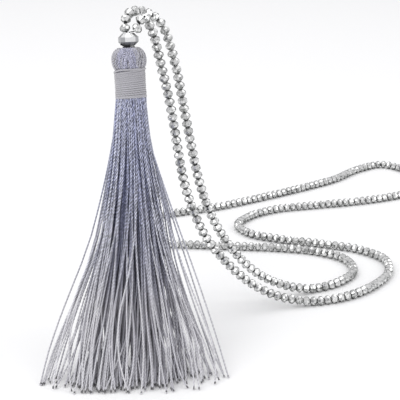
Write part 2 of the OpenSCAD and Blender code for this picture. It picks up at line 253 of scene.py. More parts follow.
def cord_material(name, upper, length, twist, groove, lower=None, low_groove=1.0, top_groove=0.0, tip=1.0,
                  drawn_turns=0.0, dull=1.0):
    yarn = new_material(name)
    place = add(yarn, "TexCoord")
    height = add(yarn, "SeparateXYZ", links={"Vector": place.outputs["Object"]}).outputs["Z"]
    on_cord = add(yarn, "SeparateXYZ", links={"Vector": place.outputs["UV"]})
    shade = add(yarn, "Attribute", attribute_name="shade").outputs["Fac"]

    # Colour that turns bluer with height, and the painted shade between the cords, bluish above, grey below
    # Share of the upper colour: 0 low down, 1 higher up
    upper_share = add(yarn, "MapRange", {"From Min": COLOUR_LOW * MM, "From Max": COLOUR_HIGH * MM}, {"Value": height})
    base = add(yarn, "ValToRGB", links={"Fac": upper_share.outputs["Result"]},
               stops=[(0.0, lower or upper), (1.0, upper)])
    blue_painted_shade = add(yarn, "ValToRGB", links={"Fac": shade},
               stops=[(0.25, "#3F4478"), (0.6, "#B4B9D6"), (1.0, "#FFFFFF")])
    grey_painted_shade = add(yarn, "ValToRGB", links={"Fac": shade},
               stops=[(0.25, "#3C3C46"), (0.6, "#B9B9C0"), (1.0, "#FFFFFF")])
    painted_shade_colour = add(yarn, "MixRGB", links={"Fac": upper_share.outputs["Result"], "Color1": grey_painted_shade.outputs["Color"],
                                      "Color2": blue_painted_shade.outputs["Color"]})
    colour_with_painted_shade = add(yarn, "VectorMath", links={0: base.outputs["Color"], 1: painted_shade_colour.outputs["Color"]},
               operation="MULTIPLY")

    # Filaments along the cord, and the painted glitter of some of them
    along = add(yarn, "Mapping", {"Scale": (length / twist, 1.0, 1.0)}, {"Vector": place.outputs["UV"]})
    filament = add(yarn, "TexNoise", {"Scale": 14.0, "Detail": 3.0, "Roughness": 0.6},
                   {"Vector": along.outputs["Vector"]})
    uneven = add(yarn, "MapRange", {"From Min": 0.3, "From Max": 0.7, "To Min": 0.86, "To Max": 1.08},
                 {"Value": filament.outputs["Fac"]})
    # Painted glitter: a fine noise lightens and darkens the colour in specks, as glints would
    glint = add(yarn, "TexNoise", {"Scale": GLINTS, "Detail": 1.0}, {"Vector": place.outputs["Object"]})
    glint_range = {"From Min": GLINT_LOW * MM, "From Max": GLINT_HIGH * MM}
    dullest = add(yarn, "MapRange", {**glint_range, "To Min": 1.06, "To Max": dull}, {"Value": height})
    brightest = add(yarn, "MapRange", {**glint_range, "To Min": 1.2, "To Max": 2 - dull}, {"Value": height})
    glitter = add(yarn, "MapRange", {"From Min": 0.36, "From Max": 0.64},
                  {"Value": glint.outputs["Fac"], "To Min": dullest.outputs["Result"],
                   "To Max": brightest.outputs["Result"]})

    # Painted shade in the line between the plies, two in a turn, and the dark cut end
    round_it = add(yarn, "Math", {1: drawn_turns}, {0: on_cord.outputs["X"], 2: on_cord.outputs["Y"]},
                   operation="MULTIPLY_ADD")
    turn = add(yarn, "Math", {1: 2 * math.tau}, {0: round_it.outputs["Value"]}, operation="MULTIPLY")
    lobe = add(yarn, "Math", links={0: turn.outputs["Value"]}, operation="COSINE")
    hanging = add(yarn, "MapRange", {"From Min": RIDGE_LOW * MM, "From Max": RIDGE_HIGH * MM,
                                     "To Min": low_groove, "To Max": groove}, {"Value": height})
    held = add(yarn, "MapRange", {"From Min": HELD_LOW * MM, "From Max": HELD_HIGH * MM,
                                  "To Min": 0.0, "To Max": top_groove}, {"Value": height})
    darkest = add(yarn, "Math", links={0: hanging.outputs["Result"], 1: held.outputs["Result"]},
                  operation="MAXIMUM")
    # Painted shade between the plies: darker where the wave is low
    ridges = add(yarn, "MapRange", {"From Min": -1.0, "From Max": 0.2, "To Max": 1.0},
                 {"Value": lobe.outputs["Value"], "To Min": darkest.outputs["Value"]})
    cut_end = add(yarn, "MapRange", {"From Min": 0.989, "From Max": 0.993, "To Min": 1.0, "To Max": tip},
                  {"Value": on_cord.outputs["X"]})

    # All of it multiplied, under a soft sheen
    light = uneven.outputs["Result"]
    for part in (glitter, ridges, cut_end):
        joined = add(yarn, "Math", links={0: light, 1: part.outputs["Result"]}, operation="MULTIPLY")
        light = joined.outputs["Value"]
    tinted = add(yarn, "VectorMath", links={0: colour_with_painted_shade.outputs["Vector"], "Scale": light}, operation="SCALE")
    bump = add(yarn, "Bump", {"Strength": 0.35, "Distance": FILAMENT_DEPTH * MM},
               {"Height": filament.outputs["Fac"]})
    surface = add(yarn, "BsdfPrincipled",
                  {"Roughness": 0.46, "Specular IOR Level": 0.5, "Sheen Weight": 0.35,
                   "Sheen Roughness": 0.4, "Sheen Tint": colour("#F6F2E4")},
                  {"Base Color": tinted.outputs["Vector"], "Normal": bump.outputs["Normal"]})
    add(yarn, "OutputMaterial", links={"Surface": surface.outputs["BSDF"]})
    return yarn


# Length of a cord and of one turn of its twist, in mm, as they are drawn
FRINGE_CORD, FRINGE_TWIST = 128, 2.8
HEAD_CORD, HEAD_TWIST = 14, 1.9
WOUND_CORD, WOUND_TWIST = 540, 2.2

# Fringe: silky rayon with deep painted shade in its ridges and much painted glitter, held tight above
# and with dark cut ends below
FRINGE_LOOK = {"upper": "#E1E4F8", "lower": "#E2E1E6", "length": FRINGE_CORD, "twist": FRINGE_TWIST,
               "groove": 0.12, "low_groove": 0.72, "top_groove": 0.4, "tip": 0.2, "dull": 0.65}
fringe_yarn = cord_material("two_ply_rayon_fringe", **FRINGE_LOOK)
# Cords inside the fringe: the same, with the turns of the whole cord drawn, 2.8 mm each
inner_yarn = cord_material("two_ply_rayon_fringe_inner", drawn_turns=45.7, **FRINGE_LOOK)
# Cords that hang apart at the edges: the same rayon, darkened by painted shade, with less painted shade
# in the ridges and less painted glitter, so that they look plainer against white
stray_yarn = cord_material("two_ply_rayon_stray", upper="#C4C7DA", lower="#D2D1D7", length=FRINGE_CORD,
                           twist=FRINGE_TWIST, groove=0.55, low_groove=0.75, tip=0.2, dull=0.85)
# Head: the same rayon stretched over a dome, so the twist is tighter and flatter
head_yarn = cord_material("two_ply_rayon_head", upper="#CFCED4", length=HEAD_CORD, twist=HEAD_TWIST,
                          groove=0.35, dull=0.9)
# Fold at the front of the head: a little bluer, with deeper painted shade in its ridges
fold_yarn = cord_material("two_ply_rayon_fold", upper="#D2D2E6", length=HEAD_CORD, twist=HEAD_TWIST,
                          groove=0.12, dull=0.85)
# Binding: one long rayon cord pulled flat, with hardly any ridge left
binding_yarn = cord_material("wound_rayon_binding", upper="#BAB9BF", length=WOUND_CORD, twist=WOUND_TWIST,
                             groove=0.8)

# Stringing thread: braided nylon, nearly black and half matt, with a mottle where the braid crosses
BRAID_CROSSINGS = 2500.0  # to the metre, so 0.4 mm each
nylon = new_material("black_braided_nylon")
place = add(nylon, "TexCoord")
braid = add(nylon, "TexNoise", {"Scale": BRAID_CROSSINGS, "Detail": 2.0}, {"Vector": place.outputs["Object"]})
black = add(nylon, "ValToRGB", links={"Fac": braid.outputs["Fac"]},
            stops=[(0.3, "#101014"), (0.7, "#2A2A30")])
strand = add(nylon, "BsdfPrincipled", {"Roughness": 0.5}, {"Base Color": black.outputs["Color"]})
add(nylon, "OutputMaterial", links={"Surface": strand.outputs["BSDF"]})
print("thread materials:", fringe_yarn.name, head_yarn.name, binding_yarn.name, nylon.name)

# %% [markdown]
# ## The route of the loop
# The two strings leave the large rondelle, cross over the support, fall to the table and lie in two loops
# that meet in one hidden turn behind the tassel. Sizes and routes are the solid model's own. A route's
# points are x, y, and the height above where a rondelle rests.

# %% Sizes and routes
BEAD_D, BEAD_T = 4.0, 3.0  # a small rondelle across its corners, and along its hole
BEAD_TABLE, BEAD_GIRDLE, BEAD_HOLE = 2.0, 1.0, 1.1  # its flat end, its waist band and its hole
BEAD_SIDES = 10
BEAD_GAP, BEAD_CLEAR = 0.25, 0.1  # thread between two of them, and the least clearance in a bend
OUTER_COUNT = 126  # rondelles on the outer string that the solid model cuts one by one
STONE_T, STONE_TABLE, STONE_HOLE = 5.0, 4.4, 2.0  # the large rondelle along its hole, its end and its hole
STONE_AT = Vector((-5.9, -5.2, -5.7))  # its middle
THREAD_D, THREAD_TWIST = 0.5, 1.2  # the stringing thread, and one turn of its twist
KNOT_H, SEAT = 0.7, 0.1  # height of its knot, and clearance between two pieces
HEAD_LEAN, SIDE_LEAN, HEAD_LEFT = 12, 3, 0.3  # degrees forward and sideways, and mm to the left
CURVE_STEPS = 12


# Downwards, but leaning by some degrees
def leaning(forward, sideways):
    lean, tilt = math.radians(forward), math.radians(sideways)
    return Vector((math.sin(tilt) * math.cos(lean), -math.sin(lean), -math.cos(tilt) * math.cos(lean)))


down = leaning(HEAD_LEAN, SIDE_LEAN)
stone_top = STONE_AT - down * STONE_T / 2
stone_foot = STONE_AT + down * STONE_T / 2
thread_foot = stone_foot + down * (SEAT + KNOT_H)
head_top = thread_foot + down * SEAT - Vector((HEAD_LEFT, 0, 0))
INNER_ROUTE = [
    (-7.2, -4.2, 122.3), (-7, -3.4, 124.6), (-6.7, -1.4, 126.4), (-5.4, 1.2, 127.4), (-3.2, 3.9, 127.6),
    (-0.6, 6.2, 126.8), (2, 8, 125.4), (4.4, 9.2, 123.6), (6.5, 9.6, 121), (8, 9.4, 118),
    (10.2, 8.6, 111), (12.4, 8.2, 102), (14.2, 8, 92), (16.2, 8.2, 81), (18.2, 8.6, 70),
    (20.6, 9.4, 58), (24, 10.6, 46), (29, 12.4, 34), (36.6, 15, 21.4), (46, 18, 11),
    (58, 21.6, 3.6), (71, 26, 0), (84, 33.6, 0), (91.6, 45, 0), (89, 60, 0),
    (77, 69, 0), (60, 73.4, 0), (38, 75.6, 0), (14, 78, 0), (-4, 79.6, 0),
    (-13, 85, 0), (-17.6, 92, 0), (-18.6, 99.6, 0),
]
OUTER_ROUTE = [
    (-5.1, -4.9, 121.5), (-3.7, -5.3, 121.8), (-2.3, -5.2, 122.9), (-1.6, -4.1, 125.2), (0, -1.5, 126.1),
    (0.9, 1.3, 124.6), (2.1, 2, 121.9), (3.3, 2.8, 118.8), (5, 4.4, 111), (6.8, 4.4, 103),
    (9.2, 4.4, 92), (11.2, 4.6, 80), (13, 4.8, 68), (15.2, 5.2, 56), (18.8, 5.8, 44),
    (24, 6.6, 32), (32, 7.6, 21), (42.4, 9, 10.6), (55, 10.8, 3.2), (70, 12.6, 0),
    (87, 19, 0), (99.6, 30.6, 0), (107.6, 45, 0), (107.6, 60, 0), (98, 71, 0),
    (80, 78.6, 0), (60, 85, 0), (45, 93.4, 0), (40.4, 104, 0), (46, 115, 0),
    (60, 126, 0), (80, 132, 0), (100, 137, 0), (120, 144, 0), (138, 155, 0),
    (145, 170, 0), (141, 187, 0), (126, 200.4, 0), (112, 192, 0), (96, 174, 0),
    (78, 160.4, 0), (55, 145, 0), (32, 131, 0), (8, 120.6, 0), (-8, 113, 0),
    (-16, 107, 0), (-18.6, 99.6, 0),
]

# %% [markdown]
# ## A smooth curve through a route
# A string of beads bends gently, so a smooth curve has to run through the chosen points. One of Blender's
# own curves could do it, but the cut rondelles of the solid model lie on the very same line. So both use
# one plain formula: a cubic piece between each two points, which passes each point along a mean slope.


# %% Smooth curve
def slope(p, i):
    if i == 0:
        return (p[1] - p[0]).normalized()
    if i == len(p) - 1:
        return (p[i] - p[i - 1]).normalized()
    a, b = p[i] - p[i - 1], p[i + 1] - p[i]
    h, k = a.length, b.length
    return (a / h * k + b / k * h) / (h + k)


def blend(a, m, b, n, t):
    return ((2 * t**3 - 3 * t**2 + 1) * a + (t**3 - 2 * t**2 + t) * m
            + (3 * t**2 - 2 * t**3) * b + (t**3 - t**2) * n)


def smooth_path(route):
    p = [stone_top] + [Vector((x, y, h + BEAD_D / 2 - HANG)) for x, y, h in route]
    points = []
    for i in range(len(p) - 1):
        h = (p[i + 1] - p[i]).length
        points += [blend(p[i], h * slope(p, i), p[i + 1], h * slope(p, i + 1), k / CURVE_STEPS)
                   for k in range(CURVE_STEPS)]
    points.append(p[-1])
    reach = [0.0]
    for a, b in zip(points, points[1:]):
        reach.append(reach[-1] + (b - a).length)
    return reach, points


def at(path, s):
    reach, points = path
    s = min(max(s, 0), reach[-1])
    i = min(max(bisect.bisect_right(reach, s), 1), len(reach) - 1)
    return points[i - 1].lerp(points[i], (s - reach[i - 1]) / (reach[i] - reach[i - 1]))


def heading(path, s):
    return (at(path, min(s + 0.5, path[0][-1])) - at(path, max(s - 0.5, 0))).normalized()


inner, outer = smooth_path(INNER_ROUTE), smooth_path(OUTER_ROUTE)
print("strings, mm:", round(inner[0][-1], 1), round(outer[0][-1], 1))

# %% [markdown]
# ## Where the rondelles sit
# Rondelles sit one pitch apart, with a little thread showing between them. In a bend their inner corners
# would meet, so the pitch grows there. The rule is the solid model's, so that the beads that are made
# here carry on exactly where its cut rondelles end.


# %% Places of the rondelles
def pitch(path, s):
    turned = min(1, heading(path, s).dot(heading(path, s + BEAD_T)))
    bend = math.acos(turned) / BEAD_T
    return max(BEAD_T + BEAD_GAP, (BEAD_T + BEAD_CLEAR) / (1 - bend * BEAD_TABLE / 2))


def places(path, first, count=math.inf):
    found, s = [], first
    while len(found) < count and s < path[0][-1] - BEAD_T / 2:
        found.append(s)
        s += pitch(path, s)
    return found


inner_at = places(inner, BEAD_T / 2 + THREAD_D + 2 * SEAT)
outer_at = places(outer, BEAD_T / 2 + STONE_TABLE / 2 + THREAD_D, OUTER_COUNT)
back_start = outer_at[-1] + BEAD_T / 2 + BEAD_GAP
back_end = outer[0][-1] + inner[0][-1] - inner_at[-1] - BEAD_T / 2 - 2 * BEAD_GAP


# Point of the loop at a length along the outer string, and past its end back up the inner one
def round_loop(s):
    return at(outer, s) if s <= outer[0][-1] else at(inner, inner[0][-1] + outer[0][-1] - s)


back_count = round((back_end - back_start) / (BEAD_T + BEAD_GAP))
back_pitch = (back_end - back_start) / back_count
back_at = [back_start + (i + 0.5) * back_pitch for i in range(back_count)]
print("rondelles:", len(inner_at), len(outer_at), back_count, "back pitch", round(back_pitch, 3))

# %% [markdown]
# ## One cut rondelle
# A rondelle is a drilled bead like a flattened ball. Its cut has a flat table at each end, a row of slanted
# facets down from each table, and a narrow band of flats at its waist. Half of its outline, spun in ten
# flat steps round the hole, gives all of that at once with only 60 faces.


# %% Rondelle
def spun_rondelle():
    bead = bmesh.new()
    half = [(BEAD_HOLE / 2, -BEAD_T / 2), (BEAD_TABLE / 2, -BEAD_T / 2), (BEAD_D / 2, -BEAD_GIRDLE / 2),
            (BEAD_D / 2, BEAD_GIRDLE / 2), (BEAD_TABLE / 2, BEAD_T / 2), (BEAD_HOLE / 2, BEAD_T / 2)]
    ring = [bead.verts.new((x, 0, z)) for x, z in half]
    edges = [bead.edges.new((ring[i], ring[(i + 1) % len(ring)])) for i in range(len(ring))]
    bmesh.ops.spin(bead, geom=ring + edges, cent=(0, 0, 0), axis=(0, 0, 1), angle=math.tau,
                   steps=BEAD_SIDES, use_merge=True)
    bmesh.ops.remove_doubles(bead, verts=bead.verts, dist=0.001)
    bmesh.ops.recalc_face_normals(bead, faces=bead.faces)
    data = bpy.data.meshes.new("cut_rondelle")
    bead.to_mesh(data)
    bead.free()
    return data


rondelle = spun_rondelle()
print("one rondelle:", len(rondelle.polygons), "faces")


# %% [markdown]
# ## Finishing a piece
# Every piece ends the same way: its mesh is scaled from millimetres to metres, it gets its material, and
# it rides on the one body of this model. It stands for nodes of the solid model, which then are hidden.


# %% Helper that finishes a piece
def finish_piece(name, data, material, stands_for):
    data.transform(Matrix.Scale(MM, 4))
    data.materials.clear()
    data.materials.append(material)
    piece = bpy.data.objects.new(name, data)
    bpy.context.scene.collection.objects.link(piece)
    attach(piece, "root")
    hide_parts(*stands_for)
    data.calc_loop_triangles()
    print(name, len(data.loop_triangles), "triangles")


# %% [markdown]
# ## The back of the loop
# The solid model shows the far stretch of the loop as a plain tube. Here it is strung with the same
# rondelles: one is copied to each place, turned along the route and rolled round it by its own amount, so
# that no two flash alike. They are joined in one mesh, as the string is one piece.

# %% Rondelles along the back
BEAD_ROLL = 137.5  # degrees from one rondelle to the next, as in the solid model
string = bmesh.new()
for i, s in enumerate(back_at):
    first = len(string.verts)
    string.from_mesh(rondelle)
    string.verts.ensure_lookup_table()
    along = (round_loop(s + 0.5) - round_loop(s - 0.5)).normalized()
    turn = along.to_track_quat("Z", "Y").to_matrix().to_4x4()
    turn = turn @ Matrix.Rotation(math.radians(BEAD_ROLL * i), 4, "Z")
    bmesh.ops.transform(string, matrix=Matrix.Translation(round_loop(s)) @ turn, verts=string.verts[first:])
back_data = bpy.data.meshes.new("beads_back")
string.to_mesh(back_data)
string.free()
finish_piece("beads_back", back_data, small_crystal, ["string_back"])


# %% [markdown]
# ## A cord from a curve
# Every thread here is swept along a curve. Its cross-section is a small closed curve with two lobes, one
# for each ply, and the tilt of each point turns that section as the cord goes on. That is how real
# two-ply cord gets its slanting ridges. Once the curve is a mesh, its end caps are welded on, and each
# cord is given its own shade, times the painted shade given for each of its points. The waist is the
# section's narrow width as a share of its wide one.


# %% Helper that sweeps cords
def swept_cords(name, lines, width, waist, sides, twist, seed, painted_shades=None):
    outline = bpy.data.curves.new("outline", "CURVE")
    outline.dimensions = "2D"
    loop = outline.splines.new("POLY")
    loop.points.add(sides - 1)
    loop.use_cyclic_u = True
    for k, point in enumerate(loop.points):
        a = k * math.tau / sides
        r = width / 2 * (waist + (1 - waist) * math.cos(a) ** 2)
        point.co = (r * math.cos(a), r * math.sin(a), 0, 1)
    outline_object = bpy.data.objects.new("outline", outline)
    curve = bpy.data.curves.new(name, "CURVE")
    curve.dimensions = "3D"
    curve.bevel_mode = "OBJECT"
    curve.bevel_object = outline_object
    curve.use_fill_caps = True
    dice = random.Random(seed)
    shades = []
    for line, depth in zip(lines, painted_shades or [[1.0] * len(line) for line in lines]):
        spline = curve.splines.new("POLY")
        spline.points.add(len(line) - 1)
        spline.use_smooth = True
        turn, last = dice.uniform(0, math.tau), line[0]
        for point, place in zip(spline.points, line):
            turn += (place - last).length / twist * math.tau
            last = place
            point.co = (*place, 1)
            point.tilt = turn
        own = min(1.15, max(0.76, dice.gauss(1, 0.1)))
        # Each cord's own tone, times the painted shade of each place along it
        shades += [own * d for d in depth for k in range(sides)]
    swept = bpy.data.objects.new(name, curve)
    bpy.context.scene.collection.objects.link(swept)
    ready = bpy.context.evaluated_depsgraph_get()
    data = bpy.data.meshes.new_from_object(swept.evaluated_get(ready), depsgraph=ready)
    caps = len(data.vertices) - len(shades)  # the caps' own points come first, and are welded away below
    values = [0.8] * caps + shades
    data.attributes.new("shade", "FLOAT", "POINT").data.foreach_set("value", values)
    bpy.data.objects.remove(swept)
    bpy.data.objects.remove(outline_object)
    welded = bmesh.new()
    welded.from_mesh(data)
    bmesh.ops.remove_doubles(welded, verts=welded.verts, dist=0.0005)
    welded.to_mesh(data)
    welded.free()
    return data


# %% [markdown]
# ## The stringing thread
# One dark nylon thread carries every rondelle. It leaves the tassel's head, goes up through the large
# rondelle, all the way round the loop, and down through the large rondelle again. Between two rondelles
# it shows as a dark dash. Over the crest, where it bends most, it has a point at both ends of a rondelle.

# %% Stringing thread
CREST_COUNT = 10  # rondelles of each string that lie over the crest


def leg(path, stations, shift):
    line = [thread_foot + shift, stone_top + shift - down * THREAD_D / 2]
    for i, s in enumerate(stations):
        if i < CREST_COUNT:
            c, t = at(path, s), heading(path, s)
            line += [c - t * BEAD_T / 2, c + t * BEAD_T / 2]
        else:
            line.append(at(path, s - (BEAD_T + BEAD_GAP) / 2))
    line.append(at(path, stations[-1] + BEAD_T / 2 + BEAD_GAP / 2))
    return line


side_step = Vector((STONE_HOLE / 5, 0, 0))
whole = leg(outer, outer_at, side_step)
whole += [round_loop(s + back_pitch / 2) for s in back_at[:-1]]
whole += reversed(leg(inner, inner_at, -side_step))
thread_data = swept_cords("stringing_thread", [whole], THREAD_D, waist=0.8, sides=6, twist=THREAD_TWIST,
                          seed=3)
finish_piece("stringing_thread", thread_data, nylon, ["thread_inner", "thread_outer"])
print("thread length, mm:", round(sum((b - a).length for a, b in zip(whole, whole[1:]))))

# %% [markdown]
# ## The tassel's axis
# Head, binding and the start of the fringe share one axis, which leans a little to the front and the
# side. A function places a point that is given round this axis.

# %% Axis of the tassel
HEAD_H, HEAD_D = 7.5, 13.4
BIND_H, BIND_D, BIND_THREAD, BIND_TURNS = 11.3, 12.1, 0.7, 15
head_foot = head_top + down * HEAD_H
bind_top = head_foot + down * SEAT
skirt_top = bind_top + down * (BIND_H + SEAT)
axis_turn = (Matrix.Rotation(math.atan2(down.y, down.x), 3, "Z")
             @ Matrix.Rotation(math.acos(down.z) - math.pi, 3, "Y")
             @ Matrix.Rotation(-math.atan2(down.y, down.x), 3, "Z"))


def on_axis(base, radius, angle, height):
    return base + axis_turn @ Vector((radius * math.cos(angle), radius * math.sin(angle), height))


print("down along the axis:", [round(c, 3) for c in on_axis(Vector(), 0, 0, -1)], [round(c, 3) for c in down])

# %% [markdown]
# ## Knot of the stringing thread
# The thread is knotted where it leaves the tassel, and the knot keeps the large rondelle off the head. It
# shows as a few uneven black turns. Two more have slipped up over the rondelle's lower edge at the front.

# %% Turns of the knot
KNOT_TURNS, KNOT_STEPS, SLIP_STEPS = 3.4, 144, 28
KNOT_FROM = 150  # degrees round the axis, where 270 is the front
KNOT_R, KNOT_GROWS = 1.6, 0.65  # radius of the first turn, and how much wider the last one is
FACET_SLOPE = 1.125  # how fast the large rondelle widens above its lower flat
ON_FACET = 0.26  # from the facet to the middle of the thread that lies on it
SLIPPED = [(202, 286, 0.7, -0.25), (214, 304, 0.3, -0.45)]  # degrees from and to, height from and to

knot_mid = stone_foot + down * (SEAT + KNOT_H / 2)
turns = []
for k in range(KNOT_STEPS + 1):
    share = k / KNOT_STEPS
    angle = math.radians(KNOT_FROM) + share * KNOT_TURNS * math.tau
    radius = KNOT_R + KNOT_GROWS * share + 0.12 * math.sin(2.3 * angle)
    turns.append(on_axis(knot_mid, radius, angle, 0.13 * math.sin(1.7 * angle + 1)))
knot_lines = [turns]
for first, last, top, low in SLIPPED:
    slipped = []
    for k in range(SLIP_STEPS + 1):
        share = k / SLIP_STEPS
        up = top + (low - top) * share
        radius = STONE_TABLE / 2 + FACET_SLOPE * max(0, up) + ON_FACET
        slipped.append(on_axis(stone_foot, radius, math.radians(first + (last - first) * share), up))
    knot_lines.append(slipped)
knot_data = swept_cords("thread_knot_turns", knot_lines, THREAD_D, waist=0.8, sides=8, twist=THREAD_TWIST,
                        seed=5)
finish_piece("thread_knot_turns", knot_data, nylon, ["thread_knot"])

# %% [markdown]
# ## Head of folded cord
# The head is the bundle of cords folded over the thread's loop and tied below, so each cord comes out of
# the middle under the large rondelle and bends down over a round shoulder. They don't lie quite side by
# side: they lean, cross and leave dark gaps, which two more layers below them fill. One could paint such
# cords on a dome, but only real ones give it their outline and shadows.

# %% Shape of the head
# From inside the binding over the shoulders to the dip: share of the height, share of the radius
HEAD_ROWS = [(-0.35, 0.76), (-0.12, 0.8), (0, 0.88), (0.12, 0.95), (0.3, 1), (0.5, 1), (0.68, 0.96),
             (0.84, 0.87), (0.96, 0.75), (1.03, 0.62), (1.04, 0.52), (1, 0.42), (0.9, 0.32), (0.76, 0.26)]


def dome(share):
    i = min(int(share * (len(HEAD_ROWS) - 1)), len(HEAD_ROWS) - 2)
    f = share * (len(HEAD_ROWS) - 1) - i
    a, b = HEAD_ROWS[i], HEAD_ROWS[i + 1]
    return a[0] + (b[0] - a[0]) * f, a[1] + (b[1] - a[1]) * f


# Point at a depth inside the head's surface: drawn in towards the axis, and near the top lowered as well
def in_head(up, out, angle, depth):
    return on_axis(head_foot, out * HEAD_D / 2 - depth, angle, up * HEAD_H - depth * min(1, max(0, up)) ** 3)


# %% Head cords
HEAD_STEPS = 36


def head_lines(count, inset, seed, sway):
    dice = random.Random(seed)
    lines = []
    for i in range(count):
        start = (i + dice.uniform(-0.25, 0.25)) * math.tau / count
        lean_round, wave = dice.gauss(0.1, sway), dice.uniform(0.03, 0.09)
        beat, phase = dice.uniform(8, 16), dice.uniform(0, math.tau)
        level = inset + dice.uniform(-0.18, 0.1)
        line = []
        for k in range(HEAD_STEPS + 1):
            share = k / HEAD_STEPS
            up, out = dome(share)
            angle = start + lean_round * share + wave * math.sin(phase + beat * share)
            behind_fold = 0.45 * max(0, -math.sin(angle)) ** 3 * (1 - share)
            line.append(in_head(up, out, angle, level + behind_fold))
        lines.append(line)
    return lines


lines = head_lines(count=84, inset=0.26, seed=11, sway=0.12)
lines += head_lines(count=76, inset=0.5, seed=12, sway=0.22)
lines += head_lines(count=52, inset=0.85, seed=14, sway=0.3)
head_data = swept_cords("tassel_head_cords", lines, width=0.6, waist=0.62, sides=8, twist=HEAD_TWIST,
                        seed=13)
print("cords over the head:", len(lines))

# %% [markdown]
# ## Core of the head
# A real head is cord all through. Cords that nobody sees would cost many triangles, so a plain core
# stands for them, in the same mesh. It is the head's own outline, drawn in, lowered and spun round the
# axis, and it goes on down through the binding.

# %% Core of the head
CORE_SIDES = 24
CORE_INSET, CORE_DROP = 1.3, 0.8  # how far the core lies inside the head, and below it
CORE_FOOT = 4.4  # radius at the end of the binding
AXIS_R = 0.001  # a point this close to the axis closes the core

# Its new points get a shade of 0, the cord material's darkest painted shade, so the core shows dark
core = bmesh.new()
core.from_mesh(head_data)
rows = [core.verts.new(on_axis(head_foot, max(AXIS_R, out * HEAD_D / 2 - CORE_INSET), 0,
                               up * HEAD_H - CORE_DROP)) for up, out in HEAD_ROWS]
chain = [core.verts.new(on_axis(head_foot, r, 0, -BIND_H - SEAT)) for r in (AXIS_R, CORE_FOOT)] + rows
edges = [core.edges.new(pair) for pair in zip(chain, chain[1:])]
bmesh.ops.spin(core, geom=chain + edges, cent=head_foot, axis=-down, angle=math.tau, steps=CORE_SIDES,
               use_merge=True)
core.to_mesh(head_data)
core.free()
finish_piece("tassel_head_cords", head_data, head_yarn, ["tassel_head"])

# %% [markdown]
# ## Fold at the front of the head
# At the front the fold itself shows, as cords that run up, over and down again in arches, one inside the
# other. Half a turn of a sine and a cosine gives one arch. They lie on the same dome as the other cords,
# which are pushed in behind them.

# %% Fold
ARCH_STEPS = 40
ARCH_MIDDLE = 267  # degrees round the head, where 270 is the front


def arch_lines(count, seed):
    dice = random.Random(seed)
    lines = []
    for i in range(count):
        size = (i + dice.uniform(0.1, 0.9)) / count
        half, crest = 0.1 + 0.95 * size, 0.4 + 0.42 * size
        middle = math.radians(ARCH_MIDDLE) + dice.gauss(0, 0.05)
        wave, beat, phase = dice.uniform(0.01, 0.04), dice.uniform(4, 9), dice.uniform(0, math.tau)
        level = 0.28 + dice.uniform(-0.14, 0.14)
        line = []
        for k in range(ARCH_STEPS + 1):
            turn = (2 * k / ARCH_STEPS - 1) * math.pi / 2
            up, out = dome(crest * max(0, math.cos(turn)) ** 0.8)
            angle = middle + half * math.sin(turn) + wave * math.sin(phase + beat * turn)
            line.append(in_head(up, out, angle, level))
        lines.append(line)
    return lines


fold_lines = arch_lines(count=24, seed=15)
fold_data = swept_cords("tassel_head_fold", fold_lines, width=0.62, waist=0.62, sides=8, twist=HEAD_TWIST,
                        seed=16)
finish_piece("tassel_head_fold", fold_data, fold_yarn, ["tassel_head"])

# %% [markdown]
# ## Wound binding
# One long cord is wound round the neck, turn beside turn, and its last turn lies loose across the top.
# A helix with the turns' own pitch gives the slight slope of real winding. The cord is drawn a little
# wider than its pitch, because the real one is pressed flat against its neighbours.

# %% Binding cord
HELIX_STEPS = 96  # points in a turn
LOOSE_ROOM = 0.8  # height left free for the loose turn
LOOSE_FROM, LOOSE_STEP, LOOSE_STEPS = 180, 4, 72  # degrees round the axis, degrees in a step, and steps
LOOSE_RISES, LOOSE_TUCKS = 16, 66  # the step by which it is up, and the one from which its end goes in
WOUND_WIDTH = 0.86

turn_r = BIND_THREAD / 2
turn_mid = BIND_D / 2 - turn_r
rise = (BIND_H - BIND_THREAD - LOOSE_ROOM) / (BIND_TURNS - 1.75)
helix = []
for k in range(round((BIND_TURNS - 0.75) * HELIX_STEPS) + 1):
    turns = k / HELIX_STEPS
    angle = math.pi / 2 + turns * math.tau
    uneven = 0.04 * math.sin(angle * 0.37) + 0.03 * math.sin(angle * 1.93 + 1)
    up = max(0, turns - 1) * rise + 0.55 * (1 + math.cos(angle)) * turns / BIND_TURNS + 0.4 * uneven
    helix.append(on_axis(bind_top, turn_mid + uneven, angle, -BIND_H + turn_r + up))
loose = []
for k in range(LOOSE_STEPS + 1):
    angle = math.radians(LOOSE_FROM + k * LOOSE_STEP)
    share = min(1, k / LOOSE_RISES)
    eased = share * share * (3 - 2 * share)
    radius = turn_mid + 0.1 + 0.2 * eased - 0.1 * max(0, k - LOOSE_TUCKS)
    loose.append(on_axis(bind_top, radius, angle, -1.35 + 0.95 * eased))
binding_data = swept_cords("tassel_binding_cord", [helix, loose], WOUND_WIDTH, waist=0.88, sides=8,
                           twist=WOUND_TWIST, seed=22)
finish_piece("tassel_binding_cord", binding_data, binding_yarn, ["tassel_binding"])

# %% [markdown]
# ## Long fringe
# The fringe is about 280 cords that leave the binding as one round bundle and fan out until their cut ends
# stand on the table. Each cord keeps roughly its own place in the bundle, so a point in a unit circle
# stands for it, and that circle widens to the fan's oval on the way down. The fan is the solid model's.

# %% Shape of the fan
FAN_W, FAN_D, FAN_SLANT = 65, 25, 4  # width and depth on the table, and how far its right end lies back
FAN_LEAN = 38  # degrees by which its cords meet the table aslant
FAN_MID = Vector((-4.1, -55.5, -HANG))
